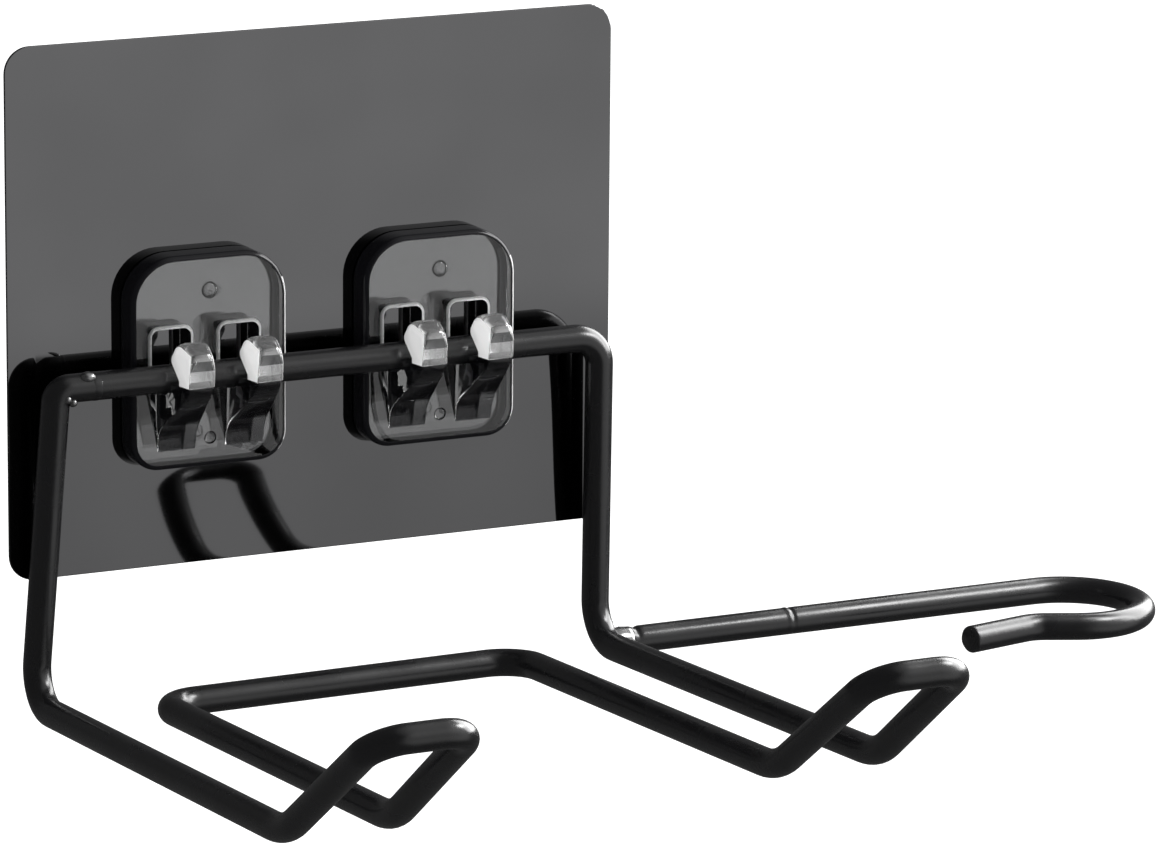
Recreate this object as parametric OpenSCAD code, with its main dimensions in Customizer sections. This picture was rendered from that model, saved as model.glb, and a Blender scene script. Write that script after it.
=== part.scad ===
// Wall holder for a hair dryer.
// A thin adhesive sheet carries two clear moulded clips, and a bent wire rack
// hangs by its top bar in their hooks. Its two rear corners lean on the wall.
// X runs to the right, +Y runs into the wall and +Z runs up.
// The wall plane is y = 0, and the sheet's centre is at x = 0, z = 0.

/* [Wall sheet] */
// Width of the glossy sheet
sheet_w = 100; // [86:1:140]
// Height of the glossy sheet
sheet_h = 81; // [72:1:120]
// Thickness of the glossy sheet
sheet_t = 0.4; // [0.3:0.05:1.2]
// Corner radius of the sheet
sheet_corner_r = 4; // [1:0.5:12]
// Thickness of the adhesive behind the sheet
adhesive_t = 0.3; // [0.2:0.05:1]
// How far the adhesive stays inside the sheet's edge
adhesive_inset = 0.6; // [0.2:0.1:3]

/* [Clips] */
// Width of one clip's base
clip_w = 25.4; // [24:0.2:32]
// Height of one clip's base
clip_h = 32.6; // [30:0.2:42]
// Thickness of one clip's base
clip_t = 4.2; // [3:0.1:6]
// Radius of the base's two upper corners
clip_top_r = 7.2; // [4:0.2:9]
// Radius of the base's two lower corners
clip_bottom_r = 4.5; // [2:0.5:6]
// Round along the front edge of the base
clip_edge_r = 1.2; // [0.4:0.1:1.6]
// Distance between the two clips' centres
clip_pitch = 38.2; // [34:0.2:46]
// Height of a clip's centre above the rack's top bar
clip_lift = 1.6; // [0:0.1:4]

/* [Clip hooks] */
// Distance between the two hooks of one clip
hook_pitch = 11.1; // [9.5:0.1:14]
// Width of a hook's head at its back
head_w = 5.9; // [4.6:0.1:7]
// Width of the head's front face
face_w = 4.2; // [3.4:0.1:5.6]
// Distance of the head's front face before the top bar's centre
head_reach = 7.5; // [6.6:0.1:9]
// Height of the head's crest above the top bar's centre
head_rise = 6.1; // [5.2:0.1:7.4]
// Radius of the crest and of the barb behind it
head_r = 2.05; // [1.4:0.05:2.6]
// Radius of the head's two upper corners, seen from the front
head_corner_r = 2; // [0.6:0.1:2.6]
// Distance of the barb before the top bar's centre
barb_reach = 2; // [1.4:0.1:2.8]
// Height of the front face's upper edge above the top bar's centre
face_rise = 5; // [3.6:0.1:5.1]
// Depth of the front face's lower edge below the top bar's centre
face_drop = 0.3; // [0:0.1:1]
// How far the front face leans back at its lower edge
face_lean = 0.4; // [0.1:0.1:0.8]
// Distance of the throat's inner wall before the top bar's centre
throat_reach = 4.4; // [3.4:0.1:5]
// Height of the throat's inner corner above the top bar's centre
throat_rise = 0.5; // [0.2:0.1:1]
// Width of the leg where it meets the head
neck_w = 3.8; // [3:0.1:4]
// Width of the leg where it meets the base
root_w = 6.2; // [5:0.1:8]
// Distance of the knee below the head before the top bar's centre
knee_reach = 6.9; // [5.8:0.1:7]
// Depth of the knee below the top bar's centre
knee_drop = 1; // [0.6:0.1:1.6]
// How far the ankle stands out from the base
ankle_out = 1.9; // [1.2:0.1:2.6]
// Depth of the ankle below the top bar's centre
ankle_drop = 7.8; // [6.6:0.1:8.6]
// How far the instep stands out from the base
instep_out = 0.9; // [0.4:0.1:1.1]
// Depth of the instep below the top bar's centre
instep_drop = 9.2; // [8.8:0.1:10.2]
// Depth of the leg's foot below the top bar's centre
foot_drop = 11.7; // [10.6:0.1:13]
// Width of the window behind a hook
window_w = 6.4; // [5.2:0.1:8]
// Height of the window's top above the top bar's centre
window_rise = 6.9; // [5:0.1:9]
// Radius of the window's upper corners
window_r = 1.2; // [0.4:0.1:2]
// Depth of the seat's rear lip below the top bar's centre
lip_drop = 1.6; // [1:0.1:1.9]
// Depth of the seat's front lip below the top bar's centre
front_lip_drop = 0.4; // [0.2:0.1:1]
// Diameter of the moulding dimple in the base
dimple_d = 2.8; // [1.5:0.1:4]
// Depth of the moulding dimple
dimple_depth = 0.35; // [0.2:0.05:0.8]
// Height of the dimple above the base's centre
dimple_lift = 10.4; // [8:0.1:12]
// Diameter of the gate mark at the foot of the base
gate_d = 2; // [1:0.1:3]
// Height of the gate mark above the base's lower edge
gate_lift = 4.2; // [2.4:0.1:5]

/* [Rack wire] */
// Diameter of the rack's wire
wire_d = 4; // [3:0.1:5]
// Width of the top bar between the wire's centres
top_w = 90; // [80:1:110]
// Width of the arms between the outer wires' centres
base_w = 93.5; // [84:0.5:116]
// Length of an upright from the top bar to the rear corner
drop = 49.9; // [40:0.1:70]
// Length of an outer arm from the rear corner to its foot
arm_len = 93.3; // [70:0.1:120]
// Upward slope of the arms towards the front
arm_rise = 2.8; // [0:0.1:8]
// Width of the dryer gap between the inner wires' centres
gap_w = 60.7; // [48:0.1:66]
// Distance of the rear bar in front of the rear corners
rear_setback = 8.3; // [6.5:0.1:16]
// Length of a loop's leg from its foot to the round end
loop_leg = 26; // [18:0.5:40]
// Upward slope of the loops
loop_rise = 37.9; // [20:0.1:60]
// Height of the top bar below the sheet's centre
bar_drop = 10; // [6:0.1:14]

/* [Rack bends] */
// Bend radius of the top right and both rear corners
corner_r = 4.5; // [3:0.1:6]
// Bend radius of the top left corner beside the seam
seam_corner_r = 3; // [2.6:0.1:5]
// Bend radius of the four feet of the loops
foot_r = 3.4; // [2.8:0.1:6]
// Bend radius of the rear bar's two corners
rear_r = 4; // [2.8:0.1:6]
// Distance of the butt seam from the top left corner
seam_offset = 6; // [5:0.1:9]
// Width of the weld bead over the seam
seam_w = 1.6; // [1:0.1:3]
// Height of the weld bead over the wire
seam_h = 0.15; // [0.1:0.05:0.4]

/* [Plug hook] */
// Distance from the right arm to the centre of the hook's turn
plug_reach = 77; // [50:0.5:100]
// Bend radius of the hook's turn
plug_turn_r = 11.6; // [8:0.1:16]
// How far the hook closes beyond a half turn
plug_close = 24; // [0:1:30]
// Length of the straight after the turn
plug_throat = 5; // [2:0.1:12]
// Angle by which the hook's end flares out again
plug_flare = 36; // [10:1:50]
// Bend radius of the flare
plug_flare_r = 6; // [3:0.1:10]
// Length of the hook's straight end
plug_tip = 11.2; // [5:0.1:20]
// Distance of the hook's bar in front of the rear corner
plug_offset = 5; // [4:0.1:12]
// Chamfer at the hook's cut end
plug_end_chamfer = 0.5; // [0.2:0.1:1]
// Width of the weld fillet round the bar's root
plug_weld_w = 1.1; // [0.6:0.1:2]
// Length of the weld fillet along the bar
plug_weld_l = 1.4; // [0.8:0.1:3]

/* [Fits] */
// Radial clearance of the top bar in the hooks
seat_clearance = 0.05; // [0.02:0.01:0.1]
// Free gap between the top bar and the clip's base
seat_back_gap = 0.6; // [0.3:0.1:1]

/* [Hidden] */
wire_fn = 20;
bend_fn = 32;
wire_r = wire_d / 2;
// A cold bend swells the wire a little, and each straight runs a little way in.
bend_swell = 0.04;
lap = 0.1;
eps = 0.02;
sheet_front = adhesive_t + sheet_t;
clip_front = sheet_front + clip_t;
bar_y = -(clip_front + seat_back_gap + wire_r);
bar_z = -bar_drop;
clip_z = bar_z + clip_lift;
seat_r = wire_r + seat_clearance;

function unit(v) = v / norm(v);
function turn_at(p, c, q) = 180 - acos(unit(p - c) * unit(q - c));
function cut_at(p, c, q, r) = r * tan(turn_at(p, c, q) / 2);

// The lean puts the back of the rear corners on the wall plane.
rest_back = -bar_y - wire_r;
corner_cut = corner_r * tan((90 + arm_rise + 7) / 2);
first_lean = asin(rest_back / (drop - corner_cut));
lean = asin((rest_back - corner_r * (1 - cos(first_lean))) / (drop - corner_r * tan((90 + arm_rise + first_lean) / 2)));

arm_dir = [0, -cos(arm_rise), sin(arm_rise)];
loop_dir = [0, -cos(loop_rise), sin(loop_rise)];
outer_x = base_w / 2;
inner_x = gap_w / 2;
loop_r = (outer_x - inner_x) / 2;
loop_x = (outer_x + inner_x) / 2;
corner_y = bar_y + drop * sin(lean);
corner_z = bar_z - drop * cos(lean);

function rear_corner(x) = [x, corner_y, corner_z];
function rear_bar_end(x) = rear_corner(x) + arm_dir * rear_setback;
function foot(x) = rear_corner(x) + arm_dir * arm_len;
function loop_start(x) = foot(x) + loop_dir * loop_leg;

// Wire helpers
module along(a, b) {
    z = unit(b - a);
    x = unit(cross(abs(z[2]) < 0.9 ? [0, 0, 1] : [1, 0, 0], z));
    y = cross(z, x);
    multmatrix([[x[0], y[0], z[0], a[0]], [x[1], y[1], z[1], a[1]], [x[2], y[2], z[2], a[2]]])
        children();
}

module straight(a, b) {
    along(a, b)
        cylinder(h = norm(b - a), d = wire_d, $fn = wire_fn);
}

// A circular arc of wire from the direction x about the axis z, centred on o.
module arc(o, x, z, r, angle) {
    y = cross(z, x);
    multmatrix([[x[0], y[0], z[0], o[0]], [x[1], y[1], z[1], o[1]], [x[2], y[2], z[2], o[2]]])
        rotate_extrude(angle = angle, $fn = bend_fn)
            translate([r, 0])
                circle(d = wire_d + bend_swell, $fn = wire_fn);
}

module bend(p, c, q, r) {
    u = unit(p - c);
    v = unit(q - c);
    inward = unit(u + v - ((u + v) * u) * u);
    centre = c + u * cut_at(p, c, q, r) + inward * r;
    arc(centre, -inward, cross(inward, u), r, turn_at(p, c, q));
}

// A run of straights and bends through pts, with a bend radius at each inner point.
module run(pts, radii) {
    last = len(pts) - 1;
    for (i = [0:last - 1]) {
        a = pts[i];
        b = pts[i + 1];
        d = unit(b - a);
        start = i == 0 ? 0 : cut_at(pts[i - 1], a, b, radii[i]);
        stop = i + 1 == last ? 0 : cut_at(a, b, pts[i + 2], radii[i + 1]);
        straight(a + d * (start - lap), b - d * (stop - lap));
    }
    for (i = [1:last - 1])
        bend(pts[i - 1], pts[i], pts[i + 1], radii[i]);
}

module outer_run() {
    top_left = [-top_w / 2, bar_y, bar_z];
    top_right = [top_w / 2, bar_y, bar_z];
    run([loop_start(outer_x), foot(outer_x), rear_corner(outer_x), top_right, top_left,
         rear_corner(-outer_x), foot(-outer_x), loop_start(-outer_x)],
        [0, foot_r, corner_r, corner_r, seam_corner_r, corner_r, foot_r, 0]);
}

module inner_run() {
    run([loop_start(inner_x), foot(inner_x), rear_bar_end(inner_x),
         rear_bar_end(-inner_x), foot(-inner_x), loop_start(-inner_x)],
        [0, foot_r, rear_r, rear_r, foot_r, 0]);
}

module loop_end(side) {
    centre = [side * loop_x, loop_start(0)[1], loop_start(0)[2]];
    arc(centre, [-1, 0, 0], cross([-1, 0, 0], loop_dir), loop_r, 180);
}

// Sheet and adhesive
module rounded_outline(w, h, r) {
    square([w - 2 * r, h], center = true);
    square([w, h - 2 * r], center = true);
    for (x = [-1, 1], z = [-1, 1])
        translate([x * (w / 2 - r), z * (h / 2 - r)])
            circle(r = r, $fn = 32);
}

module on_wall(depth, thickness) {
    translate([0, -depth, 0])
        rotate([90, 0, 0])
            linear_extrude(thickness)
                children();
}

module wall_sheet() {
    color([0.05, 0.05, 0.055])
        on_wall(adhesive_t, sheet_t)
            rounded_outline(sheet_w, sheet_h, sheet_corner_r);
}

module adhesive_layer() {
    color([0.82, 0.83, 0.82])
        on_wall(0, adhesive_t)
            rounded_outline(sheet_w - 2 * adhesive_inset, sheet_h - 2 * adhesive_inset, sheet_corner_r - adhesive_inset);
}

// Clip
module clip_outline(inset) {
    w = clip_w - 2 * inset;
    h = clip_h - 2 * inset;
    top_r = clip_top_r - inset;
    bottom_r = clip_bottom_r - inset;
    square([w, h - 2 * top_r], center = true);
    translate([-w / 2, bottom_r - h / 2])
        square([w, h - top_r - bottom_r]);
    translate([top_r - w / 2, 0])
        square([w - 2 * top_r, h / 2]);
    translate([bottom_r - w / 2, -h / 2])
        square([w - 2 * bottom_r, h / 2]);
    for (x = [-1, 1]) {
        translate([x * (w / 2 - top_r), h / 2 - top_r])
            circle(r = top_r, $fn = 40);
        translate([x * (w / 2 - bottom_r), bottom_r - h / 2])
            circle(r = bottom_r, $fn = 40);
    }
}

module edge_round(x, z, along_x, length) {
    translate([x, z, clip_t - clip_edge_r])
        rotate(along_x ? [0, 90, 0] : [90, 0, 0])
            cylinder(h = length, r = clip_edge_r, center = true, $fn = 24);
}

module corner_round(x, z, r) {
    translate([x, z, clip_t - clip_edge_r])
        rotate_extrude($fn = 40)
            translate([r - clip_edge_r, 0])
                circle(r = clip_edge_r - eps, $fn = 24);
}

// The base is a slab whose front edge is rounded all round.
module clip_base() {
    straight_h = clip_h - clip_top_r - clip_bottom_r;
    side_z = (clip_bottom_r - clip_top_r) / 2;
    linear_extrude(clip_t - clip_edge_r + lap)
        clip_outline(0);
    linear_extrude(clip_t)
        clip_outline(clip_edge_r - lap);
    for (x = [-1, 1]) {
        edge_round(x * (clip_w / 2 - clip_edge_r), side_z, false, straight_h);
        corner_round(x * (clip_w / 2 - clip_top_r), clip_h / 2 - clip_top_r, clip_top_r);
        corner_round(x * (clip_w / 2 - clip_bottom_r), clip_bottom_r - clip_h / 2, clip_bottom_r);
    }
    edge_round(0, clip_h / 2 - clip_edge_r, true, clip_w - 2 * clip_top_r);
    edge_round(0, clip_edge_r - clip_h / 2, true, clip_w - 2 * clip_bottom_r);
}

// Windows behind the hooks, seen from the front, with the top bar's centre at 0.
module window_outline() {
    top = window_rise - window_r;
    translate([-window_w / 2, -lip_drop])
        square([window_w, top + lip_drop]);
    translate([-window_w / 2 + window_r, -lip_drop])
        square([window_w - 2 * window_r, window_rise + lip_drop]);
    for (x = [-1, 1])
        translate([x * (window_w / 2 - window_r), top])
            circle(r = window_r, $fn = 24);
}

// A hook's profiles are seen from the side, with the top bar's centre at 0,
// the wall to the right and up to the top.
function touch(c, p, side) =
    let (a = atan2(p[1] - c[1], p[0] - c[0]) + side * acos(head_r / norm(p - c)))
    c + (head_r - eps) * [cos(a), sin(a)];

module head_profile() {
    crest = [-barb_reach - head_r, head_rise - head_r];
    throat = [-throat_reach, throat_rise];
    brow = [-head_reach, face_rise];
    translate(crest)
        circle(r = head_r, $fn = 40);
    polygon([throat, touch(crest, throat, 1), crest, touch(crest, brow, -1), brow,
             [face_lean - head_reach, -face_drop], [-throat_reach, -face_drop]]);
}

module leg_profile() {
    base = wire_r + seat_back_gap;
    root = base + eps;
    under = -face_drop / 2;
    difference() {
        polygon([[root, -foot_drop], [root, -lip_drop], [0, -lip_drop], [-wire_r * 0.9, -front_lip_drop],
                 [-throat_reach - lap, under], [-knee_reach, under], [-knee_reach, -knee_drop],
                 [base - ankle_out, -ankle_drop], [base - instep_out, -instep_drop], [base - lap, -foot_drop]]);
        circle(r = seat_r, $fn = 40);
    }
}

module from_side(w) {
    rotate([90, 0, 90])
        linear_extrude(w, center = true)
            children();
}

// A trapezium seen from above, narrow at the front.
module plan(back_y, back_w, front_y, front_w, tall) {
    translate([0, 0, -foot_drop - 1])
        linear_extrude(tall)
            polygon([[-back_w / 2, back_y], [back_w / 2, back_y], [front_w / 2, front_y], [-front_w / 2, front_y]]);
}

// The head's outline seen from the front, which rounds its upper corners.
module head_front() {
    w = head_w + 2 * lap;
    top = head_rise + eps;
    bottom = -face_drop - 1;
    rotate([90, 0, 0])
        linear_extrude(3 * head_reach, center = true) {
            translate([-w / 2, bottom])
                square([w, top - head_corner_r - bottom]);
            translate([head_corner_r - w / 2, bottom])
                square([w - 2 * head_corner_r, top - bottom]);
            for (x = [-1, 1])
                translate([x * (w / 2 - head_corner_r), top - head_corner_r])
                    circle(r = head_corner_r, $fn = 32);
        }
}

module clip_hook() {
    tall = head_rise + foot_drop + 2;
    intersection() {
        from_side(root_w)
            leg_profile();
        plan(wire_r + seat_back_gap + eps, root_w, -knee_reach, neck_w, tall);
    }
    intersection() {
        from_side(head_w)
            head_profile();
        plan(-barb_reach, head_w, -head_reach, face_w, tall);
        head_front();
    }
}

module clip(x) {
    difference() {
        translate([x, -sheet_front, clip_z])
            rotate([90, 0, 0])
                difference() {
                    clip_base();
                    translate([0, dimple_lift, clip_t - dimple_depth])
                        cylinder(h = clip_t, d = dimple_d, $fn = 24);
                    translate([0, gate_lift - clip_h / 2, clip_t - dimple_depth])
                        cylinder(h = clip_t, d = gate_d, $fn = 24);
                }
        for (side = [-1, 1])
            translate([x + side * hook_pitch / 2, -sheet_front + 1, bar_z])
                rotate([90, 0, 0])
                    linear_extrude(clip_t + 2)
                        window_outline();
    }
    for (side = [-1, 1])
        translate([x + side * hook_pitch / 2, bar_y, bar_z])
            clip_hook();
}

module clip_left() {
    color([0.86, 0.9, 0.92, 0.4])
        clip(-clip_pitch / 2);
}

module clip_right() {
    color([0.86, 0.9, 0.92, 0.4])
        clip(clip_pitch / 2);
}

// Rack
module rack_wire() {
    color([0.07, 0.07, 0.075]) {
        outer_run();
        inner_run();
        loop_end(-1);
        loop_end(1);
    }
}

module rack_weld() {
    seam_x = -top_w / 2 + seam_offset;
    color([0.1, 0.1, 0.105])
        translate([seam_x, bar_y, bar_z])
            rotate([0, 90, 0])
                difference() {
                    union() {
                        cylinder(h = seam_w / 2, r1 = wire_r + seam_h, r2 = wire_r + seam_h / 3, $fn = 32);
                        mirror([0, 0, 1])
                            cylinder(h = seam_w / 2, r1 = wire_r + seam_h, r2 = wire_r + seam_h / 3, $fn = 32);
                    }
                    cylinder(h = 2 * seam_w, r = wire_r, center = true, $fn = 32);
                }
}

// Plug hook, drawn in its own level plane from the right arm's centre.
plug_root = rear_corner(outer_x) + arm_dir * plug_offset;

module right_arm_corner() {
    rear = rear_corner(outer_x);
    stop = foot(outer_x);
    top = [top_w / 2, bar_y, bar_z];
    cut = cut_at(top, rear, stop, corner_r);
    bend(top, rear, stop, corner_r);
    straight(rear + arm_dir * (cut - lap), rear + arm_dir * (cut + plug_offset + 2 * wire_d));
    straight(rear + unit(top - rear) * (cut - lap), rear + unit(top - rear) * (cut + 2 * wire_d));
}

module plug_hook_wire() {
    turn = 180 + plug_close;
    centre = plug_root + [plug_reach, -plug_turn_r, 0];
    turn_end = centre + plug_turn_r * [sin(turn), cos(turn), 0];
    back_dir = [cos(turn), -sin(turn), 0];
    flare_at = turn_end + back_dir * plug_throat;
    flare_side = [-back_dir[1], back_dir[0], 0];
    flare_centre = flare_at + flare_side * plug_flare_r;
    tip_turn = turn - plug_flare;
    tip_dir = [cos(tip_turn), -sin(tip_turn), 0];
    tip_side = [-tip_dir[1], tip_dir[0], 0];
    tip_start = flare_centre - tip_side * plug_flare_r;
    tip_end = tip_start + tip_dir * plug_tip;
    color([0.07, 0.07, 0.075]) {
        difference() {
            straight(plug_root, plug_root + [plug_reach + lap, 0, 0]);
            right_arm_corner();
        }
        arc(centre, [0, 1, 0], [0, 0, -1], plug_turn_r, turn);
        straight(turn_end - back_dir * lap, flare_at + back_dir * lap);
        arc(flare_centre, -flare_side, [0, 0, 1], plug_flare_r, plug_flare);
        straight(tip_start - tip_dir * lap, tip_end);
        along(tip_end - tip_dir * lap, tip_end)
            cylinder(h = lap + plug_end_chamfer, r1 = wire_r - eps, r2 = wire_r - plug_end_chamfer, $fn = wire_fn);
    }
}

module plug_hook_weld() {
    color([0.1, 0.1, 0.105])
        difference() {
            translate(plug_root + [wire_r * 0.6, 0, 0])
                rotate([0, 90, 0])
                    cylinder(h = wire_r * 0.4 + plug_weld_l, r1 = wire_r + plug_weld_w, r2 = wire_r + 0.05, $fn = 32);
            right_arm_corner();
            straight(plug_root, plug_root + [plug_reach, 0, 0]);
        }
}

wall_sheet();
adhesive_layer();
clip_left();
clip_right();
rack_wire();
rack_weld();
plug_hook_wire();
plug_hook_weld();
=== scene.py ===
import math
import bmesh
import bpy
from mathutils import Matrix, Vector


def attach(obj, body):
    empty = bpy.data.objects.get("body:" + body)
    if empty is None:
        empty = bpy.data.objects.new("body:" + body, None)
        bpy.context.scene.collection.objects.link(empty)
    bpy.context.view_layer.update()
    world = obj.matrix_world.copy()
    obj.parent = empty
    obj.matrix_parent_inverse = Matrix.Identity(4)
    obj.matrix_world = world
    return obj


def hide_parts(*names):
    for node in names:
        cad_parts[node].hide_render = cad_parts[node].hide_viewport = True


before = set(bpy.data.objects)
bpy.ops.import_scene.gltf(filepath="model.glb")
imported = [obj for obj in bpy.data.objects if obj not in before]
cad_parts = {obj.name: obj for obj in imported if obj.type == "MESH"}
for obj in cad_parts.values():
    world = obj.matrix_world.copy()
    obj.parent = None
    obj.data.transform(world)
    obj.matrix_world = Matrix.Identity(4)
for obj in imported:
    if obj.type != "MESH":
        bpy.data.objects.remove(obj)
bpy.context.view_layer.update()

MM = 0.001

# Sizes in millimetres. The wire's gauge, its bends and the loops differ a little from the solids.
WIRE_R = 2.15

# The rack: its top bar, how far and at what lean the uprights drop, the arms and the loops.
BAR_Y, BAR_Z = -7.5, -10.0
TOP_X, OUTER_X, INNER_X = 45.0, 46.75, 30.35
DROP, LEAN = 49.9, math.radians(7.047)
ARM_LEN, ARM_RISE = 93.3, math.radians(2.8)
LOOP_LEN, LOOP_RISE = 34.2, math.radians(36.3)
FOOT_LIFT = Vector((0, 0.4, 0.35))
CORNER_R, SEAM_CORNER_R, HEEL_R, FOOT_R, LOOP_BEND_R, REAR_R = 4.5, 2.1, 6.0, 15.0, 5.0, 6.0
SEAM_X = -39.0
WELD_LUMPS = 0.02

# The plug hook: its place along the right arm, its bar, its turn, the throat and the flared tip.
PLUG_OFFSET, PLUG_START, PLUG_REACH = 5.0, 0.6, 77.0
PLUG_TURN_R, PLUG_TURN, PLUG_THROAT = 11.6, math.radians(204), 5.0
PLUG_FLARE, PLUG_FLARE_R = math.radians(36), 6.0
PLUG_TIP, TIP_CHAMFER = (10.8, 0.4, 0.5), 0.55
NECK_AT, NICK_AT = 5.3, 32.0

# The sheet, and the clips with their windows and hooks.
SHEET_W, SHEET_H, SHEET_R, SHEET_EDGE = 100, 81, 4, 0.12
SHEET_BACK, SHEET_FRONT = -0.3, -0.64
CLIP_BACK, CLIP_FRONT = -0.7, -4.9
CLIP_X, CLIP_Z, CLIP_W, CLIP_H = 19.1, -8.4, 25.4, 32.6
CLIP_TOP_R, CLIP_LOW_R, CLIP_BACK_EDGE, CLIP_ROUND = 7.2, 4.5, 0.25, 0.8
WINDOW_HALF, WINDOW_TOP, WINDOW_BOTTOM = 3.2, BAR_Z + 6.9, BAR_Z - 1.6
WINDOW_TOP_R, WINDOW_LOW_R, WINDOW_RIM, WINDOW_SHIFT = 1.2, 0.3, 0.5, 0.7
HOOK_PITCH, SEAT_R = 11.1, 2.2

# The round marks on a clip: across from its middle, height, radius, face, depth from that face.
ROUND_MARKS = ((1.1, 1.7, 1.3, CLIP_BACK, -0.25), (0, -20.3, 1.0, CLIP_FRONT, 0.3))

# Face attributes that the clear plastic reads: how much painted shade, and how much painted highlight.
MARKS = ("painted_shade", "painted_highlight")

# The sheet's material tilts its reflections. Heights, places across and bands are in metres,
# tilts in degrees; a band says where it starts, is full, fades and stops, and its top.
MIRROR_BEND_Z, MIRROR_SIDE_Z, MIRROR_LOW_Z = -0.024, -0.018, -0.041
MIRROR_RISE, MIRROR_FALL, MIRROR_SIDE, MIRROR_BAND = 5.6, 1.8, 2.5, 11
MIRROR_BANDS = ((-0.0460, -0.0453, -0.0430, -0.0405, -0.0055),
                (0.0436, 0.0440, 0.0456, 0.0458, -0.0095))

# The studio as gloss sees it: azimuth, elevation, strength, full within, gone beyond, in degrees,
# over a dim rest. The two points that the lights look at are in metres.
STUDIO = ((40, 4, 0.86, 26, 50), (72, 44, 0.95, 20, 56))
STUDIO_DIM = 0.1
CENTRE = Vector((0.03, -0.045, -0.035))
PLUG_HOOK_TIP = Vector((0.1055, -0.027, -0.059))


# ------------------------------------------------------------------ helpers
def link(obj):
    """Put an object in the scene."""
    bpy.context.scene.collection.objects.link(obj)
    return obj


def mesh_object(name, verts, faces):
    """A smooth-shaded object from vertices and faces."""
    me = bpy.data.meshes.new(name)
    me.from_pydata([tuple(v) for v in verts], [], faces)
    me.validate()
    me.update()
    for p in me.polygons:
        p.use_smooth = True
    return link(bpy.data.objects.new(name, me))


def outward(obj):
    """Turn every face of a closed mesh outwards."""
    bm = bmesh.new()
    bm.from_mesh(obj.data)
    bmesh.ops.recalc_face_normals(bm, faces=bm.faces)
    bm.to_mesh(obj.data)
    bm.free()
    return obj


def dress(obj, node, slot, body, *materials):
    """Put a finished piece in a CAD node's place."""
    for material in materials:
        obj.data.materials.append(material)
    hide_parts(node)
    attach(obj, body)


def rounded_path(points, radii, closed, step=0.35, arc_step=math.radians(5)):
    """Points along a path whose corners are rounded to the given radii; straights are divided."""
    n = len(points)
    pts = [Vector(p) for p in points]
    path = []
    for i in range(n):
        if not closed and i in (0, n - 1):
            path.append(pts[i])
            continue
        p, c, q = pts[i - 1], pts[i], pts[(i + 1) % n]
        u, v = (p - c).normalized(), (q - c).normalized()
        turn = math.pi - u.angle(v)
        cut = radii[i] * math.tan(turn / 2)
        inward = (v - u * u.dot(v)).normalized()
        centre = c + u * cut + inward * radii[i]
        count = max(2, math.ceil(turn / arc_step))
        for k in range(count + 1):
            t = turn * k / count
            path.append(centre - inward * (radii[i] * math.cos(t)) - u * (radii[i] * math.sin(t)))
    if closed:
        path.append(path[0].copy())
    dense = [path[0]]
    for a, b in zip(path, path[1:]):
        d = (b - a).length
        if d < 1e-6:
            continue
        k = max(1, round(d / step)) if d > 2.0 else 1
        dense.extend(a.lerp(b, j / k) for j in range(1, k + 1))
    if closed:
        dense.pop()
    return dense


def tube(name, path, radius, closed, sides=32):
    """A round tube along a path; radius is a function of the distance, the way out and the point.
    A closed tube is twisted evenly, so that its last ring meets its first."""
    n = len(path)
    tangents = []
    for i in range(n):
        a = path[i - 1] if closed or i else path[i]
        b = path[(i + 1) % n] if closed or i < n - 1 else path[i]
        tangents.append((b - a).normalized())
    ref = Vector((0, 0, 1)) if abs(tangents[0].z) < 0.9 else Vector((1, 0, 0))
    normal = (ref - tangents[0] * ref.dot(tangents[0])).normalized()
    normals = [normal]
    for i in range(1, n):
        axis = tangents[i - 1].cross(tangents[i])
        if axis.length > 1e-9:
            turn = Matrix.Rotation(tangents[i - 1].angle(tangents[i]), 3, axis.normalized())
            normal = turn @ normal
        normal = (normal - tangents[i] * normal.dot(tangents[i])).normalized()
        normals.append(normal)
    twist = 0.0
    if closed:
        last = normals[-1].copy()
        axis = tangents[-1].cross(tangents[0])
        if axis.length > 1e-9:
            last = Matrix.Rotation(tangents[-1].angle(tangents[0]), 3, axis.normalized()) @ last
        last = (last - tangents[0] * last.dot(tangents[0])).normalized()
        twist = math.atan2(tangents[0].dot(last.cross(normals[0])), last.dot(normals[0]))
    distance, verts = 0.0, []
    for i in range(n):
        if i:
            distance += (path[i] - path[i - 1]).length
        base = twist * i / n
        side = tangents[i].cross(normals[i])
        for k in range(sides):
            t = 2 * math.pi * k / sides + base
            out = normals[i] * math.cos(t) + side * math.sin(t)
            verts.append((path[i] + out * radius(distance, out, path[i])) * MM)
    faces = []
    for i in range(n if closed else n - 1):
        j = (i + 1) % n
        for k in range(sides):
            m = (k + 1) % sides
            faces.append((i * sides + k, i * sides + m, j * sides + m, j * sides + k))
    if not closed:
        faces.append(tuple(reversed(range(sides))))
        faces.append(tuple((n - 1) * sides + k for k in range(sides)))
    return mesh_object(name, verts, faces)


# ------------------------------------------------------------------ shader helpers
def add_node(tree, kind, inputs=None, **settings):
    """A new node with its settings; an input is a plain value or another node's socket."""
    n = tree.nodes.new("ShaderNode" + kind)
    for key, value in settings.items():
        setattr(n, key, value)
    for key, value in (inputs or {}).items():
        if isinstance(value, bpy.types.NodeSocket):
            tree.links.new(value, n.inputs[key])
        else:
            n.inputs[key].default_value = value
    return n


def new_material(name, colour, rough, metal=0.0, trans=0.0, ior=1.5):
    """A material with one principled shader, and its tree and that shader."""
    m = bpy.data.materials.new(name)
    m.use_nodes = True
    b = m.node_tree.nodes["Principled BSDF"]
    b.inputs["Base Color"].default_value = (*colour, 1)
    b.inputs["Roughness"].default_value = rough
    b.inputs["Metallic"].default_value = metal
    b.inputs["Transmission Weight"].default_value = trans
    b.inputs["IOR"].default_value = ior
    return m, m.node_tree, b


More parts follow.
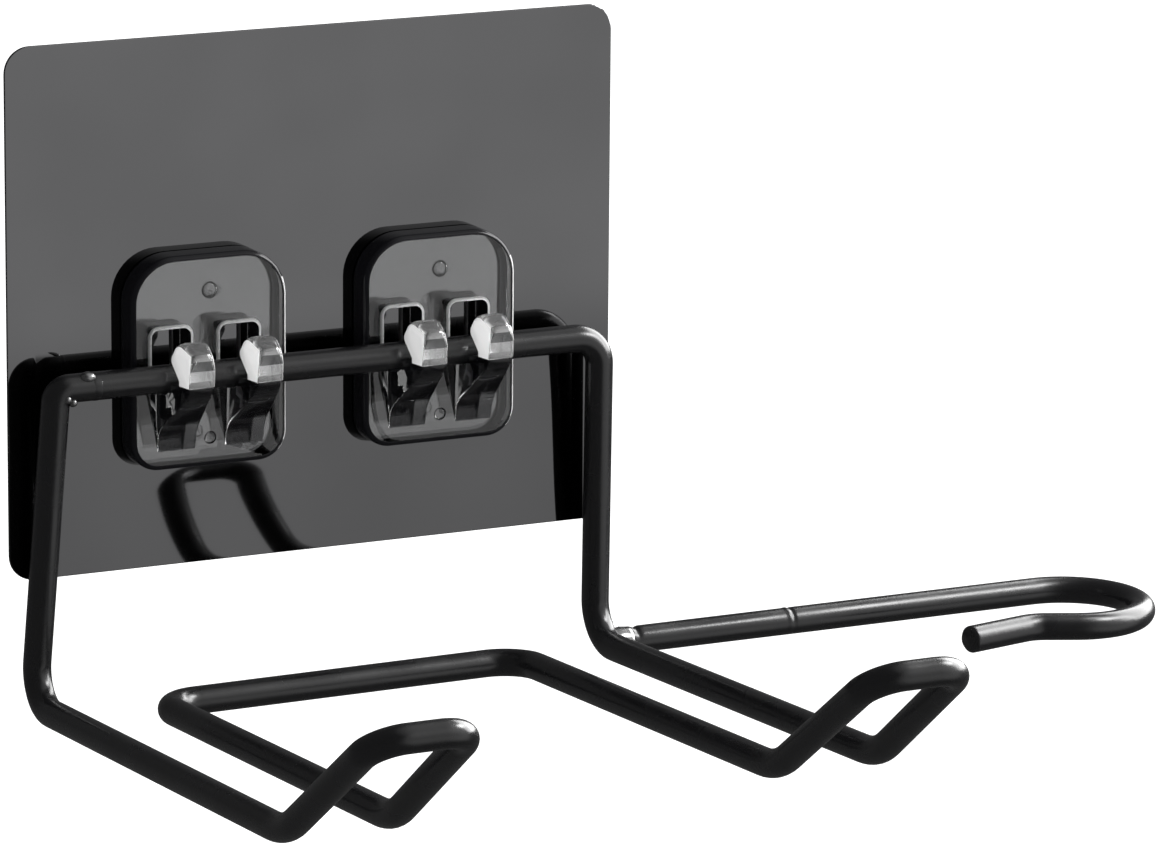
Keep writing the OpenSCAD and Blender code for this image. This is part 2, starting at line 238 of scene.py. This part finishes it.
def noise(tree, scale, detail):
    """Noise over a piece, from 0 to 1; the scale is per metre."""
    place = add_node(tree, "TexCoord").outputs["Object"]
    n = add_node(tree, "TexNoise", {"Vector": place, "Scale": scale, "Detail": detail, "Roughness": 0.5})
    return n.outputs["Fac"]


def ramp(tree, value, low, high, to_low, to_high):
    """A smooth step from one value to another."""
    limits = {"Value": value, "From Min": low, "From Max": high, "To Min": to_low, "To Max": to_high}
    return add_node(tree, "MapRange", limits, interpolation_type="SMOOTHSTEP").outputs[0]


def patchy(tree, scale, detail, low, high):
    """A value that drifts between two others over a piece."""
    return ramp(tree, noise(tree, scale, detail), 0.3, 0.7, low, high)


def maths(tree, op, a, b):
    """A sum of two values."""
    return add_node(tree, "Math", {0: a, 1: b}, operation=op).outputs[0]


def vectors(tree, op, *inputs):
    """A vector sum's node."""
    return add_node(tree, "VectorMath", dict(enumerate(inputs)), operation=op)


def tint(tree, tone, blue):
    """A grey whose blue is a little stronger or weaker."""
    parts = {"Red": tone, "Green": tone, "Blue": maths(tree, "MULTIPLY", tone, blue)}
    return add_node(tree, "CombineColor", parts).outputs[0]


def slope(degrees):
    """How far a surface normal leans for a tilt."""
    return math.tan(math.radians(degrees))


# ------------------------------------------------------------------ materials
def powder_coat(name, ior):
    """Black coat with fine grain and a slight orange peel; a higher ior shines more."""
    m, tree, b = new_material(name, (0.0045, 0.0045, 0.005), 0.26, ior=ior)
    grain = noise(tree, 2600, 2)
    peel = noise(tree, 700, 1)
    height = maths(tree, "ADD", maths(tree, "MULTIPLY", grain, 0.5), peel)
    bump = add_node(tree, "Bump", {"Height": height, "Strength": 0.13, "Distance": 0.0001})
    tree.links.new(bump.outputs["Normal"], b.inputs["Normal"])
    tree.links.new(patchy(tree, 90, 3, 0.2, 0.32), b.inputs["Roughness"])
    return m


def mirror_sheet():
    """Glossy black sheet whose reflections turn a little in its lower half and beside the uprights; its tone
    is darkened towards the bottom as painted shade.
    """
    m, tree, b = new_material("glossy_sheet", (0.125, 0.125, 0.128), 0.03, metal=1)
    place = add_node(tree, "TexCoord").outputs["Object"]
    split = add_node(tree, "SeparateXYZ", {0: place})
    x, z = split.outputs["X"], split.outputs["Z"]
    # Painted shade: the sheet's tone darkens towards its bottom.
    lower = ramp(tree, z, 0.0, -0.014, 1.0, 0.76)
    tone = maths(tree, "MULTIPLY", patchy(tree, 28, 2, 0.121, 0.135), lower)
    tree.links.new(tint(tree, tone, 1.02), b.inputs["Base Color"])
    rise = ramp(tree, z, 0.0, MIRROR_BEND_Z, 0.0, slope(MIRROR_RISE))
    fall = ramp(tree, z, MIRROR_BEND_Z, MIRROR_LOW_Z, 0.0, -slope(MIRROR_FALL))
    side = ramp(tree, z, MIRROR_SIDE_Z, MIRROR_LOW_Z, 0.0, slope(MIRROR_SIDE))
    for start, full, fade, stop, top in MIRROR_BANDS:
        grows, fades = [ramp(tree, x, off, on, 0.0, 1.0) for off, on in ((start, full), (stop, fade))]
        below = ramp(tree, z, top, top - 0.0015, 0.0, 1.0)
        band = maths(tree, "MULTIPLY", maths(tree, "MULTIPLY", grows, fades), below)
        side = maths(tree, "ADD", side, maths(tree, "MULTIPLY", band, -slope(MIRROR_BAND)))
    tilt = add_node(tree, "CombineXYZ", {"X": side, "Z": maths(tree, "ADD", rise, fall)}).outputs[0]
    face = add_node(tree, "NewGeometry").outputs["Normal"]
    unit = vectors(tree, "NORMALIZE", vectors(tree, "ADD", face, tilt).outputs[0]).outputs[0]
    tree.links.new(unit, b.inputs["Normal"])
    return m


def clear_plastic():
    """Clear plastic that shows painted shade, a near-black gloss, and a painted highlight, a milky white,
    where its faces are marked so.
    """
    m, tree, clear = new_material("clear_plastic", (0.985, 0.99, 0.99), 0.015, trans=1, ior=1.57)
    bump = add_node(tree, "Bump", {"Height": noise(tree, 160, 1), "Strength": 0.3, "Distance": 0.00012})
    tree.links.new(bump.outputs["Normal"], clear.inputs["Normal"])
    # Painted shade: a near-black gloss in place of the clear plastic.
    shade = add_node(tree, "BsdfPrincipled", {"Base Color": (0.004, 0.004, 0.005, 1), "Roughness": 0.17,
                                              "IOR": 1.3})
    # Painted highlight: a milky white in place of the clear plastic.
    painted_highlight_white = add_node(tree, "BsdfPrincipled", {"Base Color": (0.95, 0.95, 0.95, 1), "Roughness": 0.35})
    painted_shade, painted_highlight = [add_node(tree, "Attribute", attribute_name=mark).outputs["Fac"] for mark in MARKS]
    shaded = add_node(tree, "MixShader", {0: painted_shade, 1: clear.outputs[0], 2: shade.outputs[0]})
    painted_highlight_mix = add_node(tree, "MixShader", {0: painted_highlight, 1: shaded.outputs[0], 2: painted_highlight_white.outputs[0]})
    tree.links.new(painted_highlight_mix.outputs[0], tree.nodes["Material Output"].inputs["Surface"])
    return m


def adhesive():
    """Pale, slightly cloudy adhesive."""
    m, tree, b = new_material("adhesive", (0.62, 0.62, 0.6), 0.55)
    tree.links.new(tint(tree, patchy(tree, 120, 4, 0.55, 0.66), 0.97), b.inputs["Base Color"])
    bump = add_node(tree, "Bump", {"Height": noise(tree, 900, 3), "Strength": 0.3, "Distance": 0.0001})
    tree.links.new(bump.outputs["Normal"], b.inputs["Normal"])
    return m


# ------------------------------------------------------------------ rack
def rear_corner(x):
    """Where an upright meets its arm."""
    return Vector((x, BAR_Y + DROP * math.sin(LEAN), BAR_Z - DROP * math.cos(LEAN)))


ARM_DIR = Vector((0, -math.cos(ARM_RISE), math.sin(ARM_RISE)))
LOOP_DIR = Vector((0, -math.cos(LOOP_RISE), math.sin(LOOP_RISE)))


def foot(x):
    """Where an arm turns up into its loop, before the lift."""
    return rear_corner(x) + ARM_DIR * ARM_LEN


def loop_corner(x):
    """The front end of a loop."""
    return foot(x) + LOOP_DIR * LOOP_LEN


def rack_side(side, top_r, heel, loop_outer, loop_inner, rear):
    """The corners and bend radii of one side, from the top bar round to the rear bar; heel and rear
    say how far along the arms the wire turns into them, and the loop has its own two places across."""
    outer, inner = side * OUTER_X, side * INNER_X
    return [(Vector((side * TOP_X, BAR_Y, BAR_Z)), top_r), (rear_corner(outer) + ARM_DIR * heel, HEEL_R),
            (foot(outer) + FOOT_LIFT, FOOT_R), (loop_corner(side * loop_outer), LOOP_BEND_R),
            (loop_corner(side * loop_inner), LOOP_BEND_R), (foot(inner) + FOOT_LIFT, FOOT_R),
            (rear_corner(inner) + ARM_DIR * rear, REAR_R)]


def rack_wire(coat):
    """The closed wire; its two sides aren't quite alike."""
    left = rack_side(-1, SEAM_CORNER_R, heel=0.5, loop_outer=46.15, loop_inner=31.45, rear=10.0)
    right = rack_side(1, CORNER_R, heel=1.8, loop_outer=44.65, loop_inner=30.25, rear=8.8)
    corners = left + right[::-1]
    path = rounded_path([p for p, r in corners], [r for p, r in corners], True)
    o = tube("rack_wire_visual", path, lambda d, out, p: WIRE_R, True)
    dress(o, "rack_wire", "black_wire", "rack", coat)


def lathe(place, profile, lumps):
    """Vertices and faces of a weld turned about X; its profile is (distance along, height over the wire)."""
    sides, verts, faces = 48, [], []
    for i, (a, r) in enumerate(profile):
        for k in range(sides):
            t = 2 * math.pi * k / sides
            wave = lumps * math.sin(5 * t + 1.3 * i) * math.sin(3 * t)
            out = Vector((0, math.cos(t), math.sin(t)))
            verts.append((place + Vector((a, 0, 0)) + out * (WIRE_R + r + wave)) * MM)
    rings = len(profile)
    for i in range(rings):
        j = (i + 1) % rings
        for k in range(sides):
            m = (k + 1) % sides
            faces.append((i * sides + k, i * sides + m, j * sides + m, j * sides + k))
    return verts, faces


def add_drop(obj, centre, radii, along=(1, 0, 0), facing_way=(0, 0, 1), material=0):
    """Add a drop of weld to a piece: its first radius lies along one way, its last one faces another."""
    x = Vector(along).normalized()
    z = Vector(facing_way)
    z = (z - x * z.dot(x)).normalized()
    turned = Matrix((x, z.cross(x), z)).transposed().to_4x4()
    place = Matrix.Translation(Vector(centre) * MM) @ turned @ Matrix.Diagonal((*(r * MM for r in radii), 1))
    bm = bmesh.new()
    bm.from_mesh(obj.data)
    drop = bmesh.ops.create_icosphere(bm, subdivisions=4, radius=1, matrix=place)
    for v in drop["verts"]:
        for face in v.link_faces:
            face.material_index = material
    bm.to_mesh(obj.data)
    bm.free()
    for p in obj.data.polygons:
        p.use_smooth = True


def seam_bead(coat, bead):
    """The butt seam: a low ring, a drop of weld on top and two small ones inside the corner."""
    ring = [(-0.8, -0.06), (-0.6, -0.01), (-0.3, 0.02), (0, 0.03), (0.3, 0.02), (0.6, -0.01), (0.8, -0.06),
            (0, -0.12)]
    o = outward(mesh_object("rack_weld_visual", *lathe(Vector((SEAM_X, BAR_Y, BAR_Z)), ring, WELD_LUMPS)))
    add_drop(o, (-40.4, -8.5, -8.35), (1.25, 1.0, 0.9), material=1)
    add_drop(o, (-43.9, -9.1, -11.3), (0.65, 0.65, 0.65), material=1)
    add_drop(o, (-42.9, -8.8, -11.9), (0.7, 0.65, 0.65), material=1)
    dress(o, "rack_weld", "black_wire", "rack", coat, bead)


def plug_root():
    """The point of the right outer arm that the plug hook starts from."""
    return rear_corner(OUTER_X) + ARM_DIR * PLUG_OFFSET


def plug_path():
    """The plug hook's centre line, walked along from the right arm; the tip ends in short steps."""
    at, heading = plug_root() + Vector((PLUG_START, 0, 0)), 0.0
    path = [at.copy()]

    def ahead(length):
        nonlocal at
        way = Vector((math.cos(heading), math.sin(heading), 0))
        count = max(1, round(length / 0.25))
        path.extend(at + way * (length * k / count) for k in range(1, count + 1))
        at = path[-1].copy()

    def turn(radius, angle):
        nonlocal at, heading
        side = math.copysign(1, angle)
        centre = at + Vector((-math.sin(heading), math.cos(heading), 0)) * (radius * side)
        count = max(2, math.ceil(abs(angle) / math.radians(4)))
        start = at - centre
        for k in range(1, count + 1):
            path.append(centre + Matrix.Rotation(angle * k / count, 3, "Z") @ start)
        at, heading = path[-1].copy(), heading + angle

    ahead(PLUG_REACH - PLUG_START)
    turn(PLUG_TURN_R, -PLUG_TURN)
    ahead(PLUG_THROAT)
    turn(PLUG_FLARE_R, PLUG_FLARE)
    for length in PLUG_TIP:
        ahead(length)
    return path


def dent(at, centre, width):
    """A bell curve of height 1."""
    return math.exp(-((at - centre) / width) ** 2)


def plug_hook(coat, bead):
    """The plug hook with a neck at its weld, a nick in its bar and a chamfered tip, and its weld."""
    path = plug_path()
    length = sum((b - a).length for a, b in zip(path, path[1:]))
    neck, nick = plug_root().x + NECK_AT, plug_root().x + NICK_AT

    def radius(d, out, p):
        r = WIRE_R - max(0.0, TIP_CHAMFER - (length - d))
        if p.y > BAR_Y:  # the straight bar lies behind the hook's turn
            up = max(0.0, out.z * 0.8 - out.y * 0.6)
            r += up * (0.12 * dent(p.x, nick, 0.25) - 0.2 * dent(p.x, nick + 0.7, 0.25))
            r -= 0.3 * dent(p.x, neck, 0.45) * max(0.0, out.z)
        return r

    o = tube("plug_hook_wire_visual", path, radius, False)
    dress(o, "plug_hook_wire", "black_wire", "rack", coat)
    collar = [(1.0, -0.1), (1.4, 0.1), (1.9, 0.15), (2.5, 0.15), (3.2, 0.1), (3.9, 0.05), (4.4, 0.02),
              (4.5, -0.1)]
    weld = outward(mesh_object("plug_hook_weld_visual", *lathe(plug_root(), collar, WELD_LUMPS)))
    add_drop(weld, plug_root() + Vector((2.0, 1.0, 1.85)), (3.0, 1.1, 0.9),
             along=(0.79, 0.04, -0.62), facing_way=(0.46, -0.7, 0.54))
    dress(weld, "plug_hook_weld", "black_wire", "rack", bead)


# ------------------------------------------------------------------ sheet
def arc(centre, radius, start, stop, count):
    """Points round an arc, in degrees."""
    return [(centre[0] + radius * math.cos(math.radians(start + (stop - start) * k / count)),
             centre[1] + radius * math.sin(math.radians(start + (stop - start) * k / count)))
            for k in range(count + 1)]


def rounded_rect(w, h, r_top, r_bottom, count=10):
    """An outline round the origin, with its own corner radii at the top and the bottom."""
    a, b = w / 2, h / 2
    return (arc((a - r_top, b - r_top), r_top, 0, 90, count)
            + arc((r_top - a, b - r_top), r_top, 90, 180, count)
            + arc((r_bottom - a, r_bottom - b), r_bottom, 180, 270, count)
            + arc((a - r_bottom, r_bottom - b), r_bottom, 270, 360, count))


def plate(name, outer, holes):
    """A closed plate in the XZ plane from rings of (y, outline), the back ring first.
    A hole has such rings too, from the face that it opens in; one that stops short gets a floor.
    The plate's and the holes' outer walls are marked with painted shade, the rims of through holes with a
    painted highlight."""
    bm = bmesh.new()
    painted_shade, painted_highlight = [bm.faces.layers.float.new(mark) for mark in MARKS]

    def ring(y, outline):
        return [bm.verts.new((x * MM, y * MM, z * MM)) for x, z in outline]

    def walls(rings, mark, last=None):
        for i, (a, b) in enumerate(zip(rings, rings[1:])):
            for k in range(len(a)):
                m = (k + 1) % len(a)
                face = bm.faces.new((a[k], a[m], b[m], b[k]))
                face[mark] = 1.0 if last is None or i < last else 0.0

    def rim(r):
        return [bm.edges.get((r[k], r[(k + 1) % len(r)])) for k in range(len(r))]

    back_y = outer[0][0]
    body = [ring(y, o) for y, o in outer]
    # The outer walls carry painted shade.
    walls(body, painted_shade)
    front_edges, back_edges = rim(body[-1]), rim(body[0])
    for hole in holes:
        rings = [ring(y, o) for y, o in hole]
        from_back, through = [abs(hole[end][0] - back_y) < 1e-6 for end in (0, -1)]
        # Through holes: painted highlight on the rims and painted shade on the deeper walls; blind holes:
        # painted shade on their first walls.
        if through:
            walls(rings[:-1], painted_highlight)
            walls(rings[-2:], painted_shade)
        else:
            walls(rings, painted_shade, 1)
        (back_edges if from_back else front_edges).extend(rim(rings[0]))
        if through:
            back_edges += rim(rings[-1])
        else:
            bm.faces.new(rings[-1])
    bmesh.ops.triangle_fill(bm, use_beauty=True, edges=front_edges)
    bmesh.ops.triangle_fill(bm, use_beauty=True, edges=back_edges)
    bmesh.ops.recalc_face_normals(bm, faces=bm.faces)
    me = bpy.data.meshes.new(name)
    bm.to_mesh(me)
    bm.free()
    return link(bpy.data.objects.new(name, me))


def sheet(gloss):
    """The wall sheet, with a slightly rounded front edge."""
    def outline(inset):
        r = SHEET_R - inset
        return rounded_rect(SHEET_W - 2 * inset, SHEET_H - 2 * inset, r, r)

    middle = SHEET_EDGE * 0.3
    outer = [(SHEET_BACK, outline(0)), (SHEET_FRONT + SHEET_EDGE, outline(0)),
             (SHEET_FRONT + middle, outline(middle)), (SHEET_FRONT, outline(SHEET_EDGE))]
    o = plate("wall_sheet_visual", outer, [])
    dress(o, "wall_sheet", "black_sheet", "wall_plate", gloss)


# ------------------------------------------------------------------ clips
def window(cx, grow):
    """The outline of a window in a clip, wider by grow all round."""
    half, top, bottom = WINDOW_HALF + grow, WINDOW_TOP + grow, WINDOW_BOTTOM - grow
    r, low = WINDOW_TOP_R + grow, WINDOW_LOW_R + grow
    return ([(cx + half - low, bottom)] + arc((cx + half - low, bottom + low), low, 270, 360, 4)[1:]
            + arc((cx + half - r, top - r), r, 0, 90, 6) + arc((cx - half + r, top - r), r, 90, 180, 6)
            + arc((cx - half + low, bottom + low), low, 180, 270, 4))


def mark_all(obj, painted_shade, painted_highlight, side_painted_highlight):
    """Mark every face of a piece with painted shade and a painted highlight, with more painted highlight on
    those that face sideways.
    """
    first, second = [obj.data.attributes.new(mark, "FLOAT", "FACE").data for mark in MARKS]
    for p in obj.data.polygons:
        first[p.index].value = painted_shade
        second[p.index].value = side_painted_highlight if abs(p.normal.x) > 0.6 else painted_highlight
    return obj


def clip_base(name, cx):
    """A clip's plate with its two windows and round marks."""
    def outline(inset):
        w, h, r_top, r_low = CLIP_W - 2 * inset, CLIP_H - 2 * inset, CLIP_TOP_R - inset, CLIP_LOW_R - inset
        return [(x + cx, z + CLIP_Z) for x, z in rounded_rect(w, h, r_top, r_low, 12)]

    def turned(radius, steps):
        """(inset, depth) round a quarter turn from the side to the front."""
        angles = [math.radians(90 * k / steps) for k in range(steps + 1)]
        return [(radius * (1 - math.cos(t)), radius * (1 - math.sin(t))) for t in angles]

    outer = [(CLIP_BACK, outline(CLIP_BACK_EDGE)), (CLIP_BACK - CLIP_BACK_EDGE, outline(0))]
    outer += [(CLIP_FRONT + d, outline(i)) for i, d in turned(CLIP_ROUND, 6)]
    holes = []
    for side in (-1, 1):
        hx = cx + side * HOOK_PITCH / 2 - WINDOW_SHIFT
        rings = [(CLIP_FRONT + d, window(hx, WINDOW_RIM - i)) for i, d in reversed(turned(WINDOW_RIM, 4))]
        holes.append(rings + [(CLIP_BACK, window(hx, 0))])
    for across, z, r, y, depth in ROUND_MARKS:
        holes.append([(y + depth * part, arc((cx + across, z), r - inset, 0, 345, 23))
                      for part, inset in ((0, 0), (0.7, 0.15), (1, 0.45))])
    return plate(name, outer, holes)


def touch(c, r, p, side):
    """The angle in degrees at which a line from p touches the circle round c."""
    a = math.atan2(p[1] - c[1], p[0] - c[0]) + side * math.acos(r / math.dist(p, c))
    return math.degrees(a)


def lofted(name, profile, half_width, edge):
    """A slab over a side profile of (y, z), in millimetres; half_width and edge say how far it
    reaches to a side and how round its rim is at a point of the profile."""
    n = len(profile)
    area = sum(profile[i - 1][0] * profile[i][1] - profile[i][0] * profile[i - 1][1] for i in range(n))
    if area < 0:
        profile = profile[::-1]
    inward = []
    for i in range(n):
        p, c, q = profile[i - 1], profile[i], profile[(i + 1) % n]
        a = Vector((-(c[1] - p[1]), c[0] - p[0])).normalized()
        b = Vector((-(q[1] - c[1]), q[0] - c[0])).normalized()
        m = (a + b).normalized()
        inward.append(m / max(0.6, m.dot(a)))  # sharp corners don't reach far in
    steps, verts, faces = 4, [], []
    for side in (-1, 1):
        for k in range(steps + 1):
            t = math.radians(90 * k / steps)
            for (y, z), m in zip(profile, inward):
                r = edge(y, z)
                inset, x = r * (1 - math.cos(t)), half_width(side, y, z) - r * (1 - math.sin(t))
                verts.append((side * x, y + m.x * inset, z + m.y * inset))
    rings = steps + 1
    for s in (0, 1):
        for k in range(steps):
            for i in range(n):
                j = (i + 1) % n
                a, b = (s * rings + k) * n, (s * rings + k + 1) * n
                faces.append((a + i, a + j, b + j, b + i))
    for i in range(n):
        j = (i + 1) % n
        faces.append((i, j, rings * n + j, rings * n + i))
    faces.append(tuple(steps * n + i for i in range(n)))
    faces.append(tuple((rings + steps) * n + i for i in range(n)))
    return outward(mesh_object(name, [Vector(v) * MM for v in verts], faces))


def hook_head(name):
    """The head of a hook: upright in front, round over its crest, and narrower towards the front.
    Its front is clear with a band of painted shade across the middle, and its sides carry a painted
    highlight."""
    r, crest = 2.05, (-4.05, 4.05)
    throat, brow = (-4.4, 0.5), (-7.5, 5.0)
    a, b = touch(crest, r, throat, 1), touch(crest, r, brow, -1)
    front = [(-7.3, 5.08), (-7.48, 4.9), (-7.56, 3.9), (-7.5, 2.4), (-7.12, -0.2), (-7.0, -0.3)]
    profile = [(-4.4, -0.3), throat] + arc(crest, r, a, b, 14) + front

    def half_width(side, y, z):
        return 2.1 + (y + 7.5) / 5.5 * 0.85

    def edge(y, z):
        top = min(1.0, max(0.0, (z - 2.6) / 2.4))
        return 0.28 + 1.25 * top * top * (3 - 2 * top)

    # A faint painted highlight all over, and a full one on the sides.
    head = mark_all(lofted(name, profile, half_width, edge), 0.0, 0.05, 1.0)
    painted_shade, painted_highlight = [head.data.attributes[mark].data for mark in MARKS]
    for p in head.data.polygons:
        # Front faces: painted shade across the middle, a faint painted highlight above and below it.
        if p.normal.y < -0.9:
            middle = 2.4 * MM < p.center.z < 3.9 * MM
            painted_shade[p.index].value = 0.5 if middle else 0.0
            painted_highlight[p.index].value = 0.0 if middle else 0.14
    return head


def hook_leg(name):
    """The wedge under a hook, with the seat that the top bar lies in."""
    seat = arc((0, 0), SEAT_R, 313.3, 190, 14)
    under = [(-4.5, -0.15), (-6.9, -0.15), (-6.9, -1.0), (-6.2, -1.85), (-2.85, -4.8), (0.0, -7.15),
             (0.7, -7.8), (1.25, -8.5), (1.7, -9.2), (2.15, -10.4), (2.5, -11.7)]
    profile = [(2.9, -11.7), (2.9, -1.6)] + seat + under

    def half_width(side, y, z):
        spread = (y + 6.9) / 9.5
        higher = max(0.0, (z + 11.7) / 10)
        return 1.9 + spread * 1.2 + max(0.0, spread - 0.3) * higher * (1.8 if side < 0 else 0.3)

    # The legs carry painted shade all over.
    return mark_all(lofted(name, profile, half_width, lambda y, z: 0.25), 0.55, 0.0, 0.0)


def clip(node, cx, plastic):
    """A clip: its plate joined with two legs and two heads. Its right wall carries a painted highlight
    instead of painted shade.
    """
    o = clip_base(node + "_visual", cx)
    parts = []
    for side in (-1, 1):
        for k, make in enumerate((hook_leg, hook_head)):
            part = make("part_%d_%d" % (side, k))
            part.location = Vector((cx + side * HOOK_PITCH / 2, BAR_Y, BAR_Z)) * MM
            parts.append(part)
    bpy.context.view_layer.update()
    for part in parts:
        cut = o.modifiers.new("join", "BOOLEAN")
        cut.operation = "UNION"
        cut.solver = "EXACT"
        cut.object = part
    graph = bpy.context.evaluated_depsgraph_get()
    joined = bpy.data.meshes.new_from_object(o.evaluated_get(graph))
    o.modifiers.clear()
    o.data = joined
    for part in parts:
        bpy.data.objects.remove(part)
    painted_shade, painted_highlight = [joined.attributes[mark].data for mark in MARKS]
    right_wall = (cx + CLIP_W / 2 - 2) * MM
    for p in joined.polygons:
        p.use_smooth = True
        # On the right wall, the painted shade gives way to a painted highlight.
        faces_right = p.normal.x > 0.55 and p.normal.z < 0.35
        if painted_shade[p.index].value == 1 and p.center.x > right_wall and faces_right:
            painted_shade[p.index].value = 0.0
            painted_highlight[p.index].value = 0.6
    joined.set_sharp_from_angle(angle=math.radians(38))
    joined.materials.clear()
    dress(o, node, "clear_plastic", "wall_plate", plastic)


# ------------------------------------------------------------------ camera and light
def facing(azimuth, elevation):
    """A direction from the object; azimuth 0 is in front, 90 to its right."""
    a, e = math.radians(azimuth), math.radians(elevation)
    return Vector((math.sin(a) * math.cos(e), -math.cos(a) * math.cos(e), math.sin(e)))


def camera():
    """A long lens in front, to the left and above, rolled a little."""
    back, roll = facing(-26.651, 13.069), math.radians(0.48)
    distance, aim_right, aim_up = 1.0363, 0.0402, -0.020270
    right = (-back).cross(Vector((0, 0, 1))).normalized()
    up = right.cross(-back)
    across = right * math.cos(roll) + up * math.sin(roll)
    upright = up * math.cos(roll) - right * math.sin(roll)
    nudge = Vector((0, -0.0007, 0))
    place = back * distance + across * aim_right + upright * aim_up + nudge
    data = bpy.data.cameras.new("camera")
    data.lens = 212.44
    data.sensor_width = 36
    data.clip_start = 0.05
    data.clip_end = 30
    cam = link(bpy.data.objects.new("camera", data))
    columns = Matrix((across, upright, back)).transposed().to_4x4()
    cam.matrix_world = Matrix.Translation(place) @ columns
    bpy.context.scene.camera = cam


def softbox(name, azimuth, elevation, distance, width, height, radiance, target=CENTRE):
    """A light panel, in metres, that looks at a point of the object."""
    d = facing(azimuth, elevation)
    data = bpy.data.lights.new(name, "AREA")
    data.shape = "RECTANGLE"
    data.size = width
    data.size_y = height
    data.energy = radiance * math.pi * width * height
    o = link(bpy.data.objects.new(name, data))
    o.location = target + d * distance
    o.rotation_mode = "QUATERNION"
    o.rotation_quaternion = (-d).to_track_quat("-Z", "Y")
    o.visible_camera = False


def studio_glow(tree, direction):
    """How bright the studio is in a direction, for gloss and clear plastic."""
    total = STUDIO_DIM
    for az, el, strength, full, gone in STUDIO:
        dot = vectors(tree, "DOT_PRODUCT", direction, facing(az, el)).outputs["Value"]
        lobe = ramp(tree, dot, math.cos(math.radians(gone)), math.cos(math.radians(full)), 0.0, strength)
        total = maths(tree, "ADD", lobe, total)
    return total


def bent_ray(tree):
    """The light path node, and 1 for rays that come off gloss or through clear plastic."""
    path = add_node(tree, "LightPath")
    return path, maths(tree, "MAXIMUM", path.outputs["Is Glossy Ray"], path.outputs["Is Transmission Ray"])


def stage():
    """A plain pale floor that gloss and clear plastic see as part of the studio."""
    bpy.ops.mesh.primitive_plane_add(size=24, location=(0, 4, -0.35))
    floor = bpy.context.object
    floor.name = "floor"
    m, tree, b = new_material("floor", (0.8, 0.8, 0.8), 0.9)
    b.inputs["Specular IOR Level"].default_value = 0.0
    path, bent = bent_ray(tree)
    white = maths(tree, "MULTIPLY", path.outputs["Is Camera Ray"], 0.6)
    seen = add_node(tree, "Emission", {"Strength": white})
    lit = add_node(tree, "AddShader", {0: b.outputs[0], 1: seen.outputs[0]})
    place = add_node(tree, "NewGeometry").outputs["Position"]
    away = vectors(tree, "SUBTRACT", place, CENTRE).outputs[0]
    unit = vectors(tree, "NORMALIZE", away).outputs[0]
    glow = add_node(tree, "Emission", {"Strength": studio_glow(tree, unit)})
    mix = add_node(tree, "MixShader", {0: bent, 1: lit.outputs[0], 2: glow.outputs[0]})
    tree.links.new(mix.outputs[0], tree.nodes["Material Output"].inputs["Surface"])
    floor.data.materials.append(m)


def surroundings():
    """Even light all round, the studio for gloss and clear plastic, and white for the camera."""
    world = bpy.data.worlds.new("studio")
    bpy.context.scene.world = world
    world.use_nodes = True
    tree = world.node_tree
    even = tree.nodes["Background"]
    even.inputs["Color"].default_value = (1, 1, 1, 1)
    even.inputs["Strength"].default_value = 1.0
    path, bent = bent_ray(tree)
    way = add_node(tree, "TexCoord").outputs["Generated"]
    glow = studio_glow(tree, way)
    behind = ramp(tree, add_node(tree, "SeparateXYZ", {0: way}).outputs["Y"], 0.0, 0.5, 0.0, 1.0)
    backlight = maths(tree, "MULTIPLY", behind, path.outputs["Is Transmission Ray"])
    gloss = add_node(tree, "Background", {"Strength": maths(tree, "MAXIMUM", glow, backlight)})
    white = add_node(tree, "Background", {"Strength": 1.0})
    mix = add_node(tree, "MixShader", {0: bent, 1: even.outputs[0], 2: gloss.outputs[0]})
    seen = path.outputs["Is Camera Ray"]
    top = add_node(tree, "MixShader", {0: seen, 1: mix.outputs[0], 2: white.outputs[0]})
    tree.links.new(top.outputs[0], tree.nodes["World Output"].inputs[0])


# ------------------------------------------------------------------ scene
camera()
coat = powder_coat("powder_coat", 1.5)
bead = powder_coat("shiny_weld", 2.7)
gloss = mirror_sheet()
plastic = clear_plastic()
backing = adhesive()
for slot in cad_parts["adhesive_layer"].material_slots:
    slot.material = backing
sheet(gloss)
clip("clip_left", -CLIP_X, plastic)
clip("clip_right", CLIP_X, plastic)
rack_wire(coat)
seam_bead(coat, bead)
plug_hook(coat, bead)

stage()
surroundings()
softbox("right", 101, 23, distance=0.5, width=0.54, height=0.4, radiance=8.5)
softbox("key", 66, 40, distance=0.28, width=0.08, height=0.08, radiance=18.0)
softbox("tip", 66, 42, distance=0.12, width=0.04, height=0.13, radiance=7.0, target=PLUG_HOOK_TIP)
bpy.context.scene.view_settings.view_transform = "Standard"
